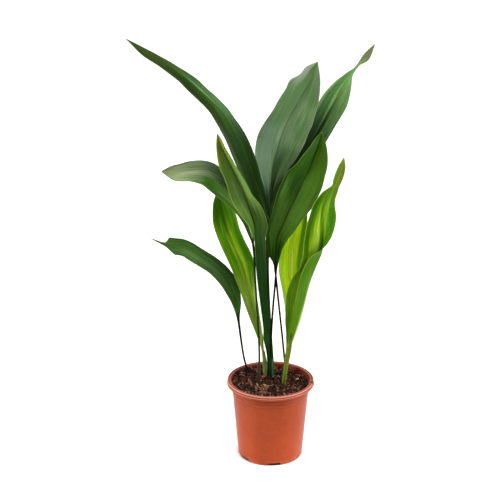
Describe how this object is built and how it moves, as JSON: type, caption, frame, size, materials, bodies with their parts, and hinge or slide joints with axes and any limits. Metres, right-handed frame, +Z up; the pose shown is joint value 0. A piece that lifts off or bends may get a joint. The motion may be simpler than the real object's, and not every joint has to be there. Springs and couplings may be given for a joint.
{
  "type": "potted cast iron plant",
  "caption": "Tall house plant with long pointed strap leaves on thin stalks, rising from soil in a round tapered terracotta-coloured nursery pot.",
  "frame": {"origin": "centre of the flat disc in the pot's underside, on the surface that the pot stands on", "axes": "+Z up along the pot's axis; -Y towards the side that the picture shows; +X to the right in the picture"},
  "size_m": [0.4569, 0.232, 0.8392],
  "materials": {
    "pot_plastic": "moulded terracotta-coloured plastic with a soft sheen",
    "potting_mix": "rough damp bark and fibre mix",
    "rootstock": "dull scaly rhizome",
    "leaf_dark": "leathery dark green with a satin gloss",
    "leaf_grey_green": "leathery grey-green with a satin gloss",
    "leaf_olive": "leathery olive green with a satin gloss",
    "leaf_bright": "young yellow-green leaf with streaks",
    "sheath_green": "firm green leaf scale",
    "sheath_dry": "dry brown leaf scale"
  },
  "bodies": {
    "root": {"pot": "pot_plastic", "soil": "potting_mix", "rootstock": "rootstock", "leafArchedLeft": "leaf_dark", "leafBroadMiddle": "leaf_grey_green", "leafBackRight": "leaf_dark", "leafFrontRight": "leaf_dark", "leafFolded": "leaf_olive", "leafSpreadLeft": "leaf_grey_green", "leafPaleLeft": "leaf_bright", "leafLowLeft": "leaf_dark", "leafRolledRight": "leaf_bright", "leafBrightRight": "leaf_bright", "sheathLeft": "sheath_dry", "sheathMiddle": "sheath_green", "sheathFront": "sheath_green", "sheathRolled": "sheath_green", "sheathBack": "sheath_dry"}
  },
  "joints": []
}
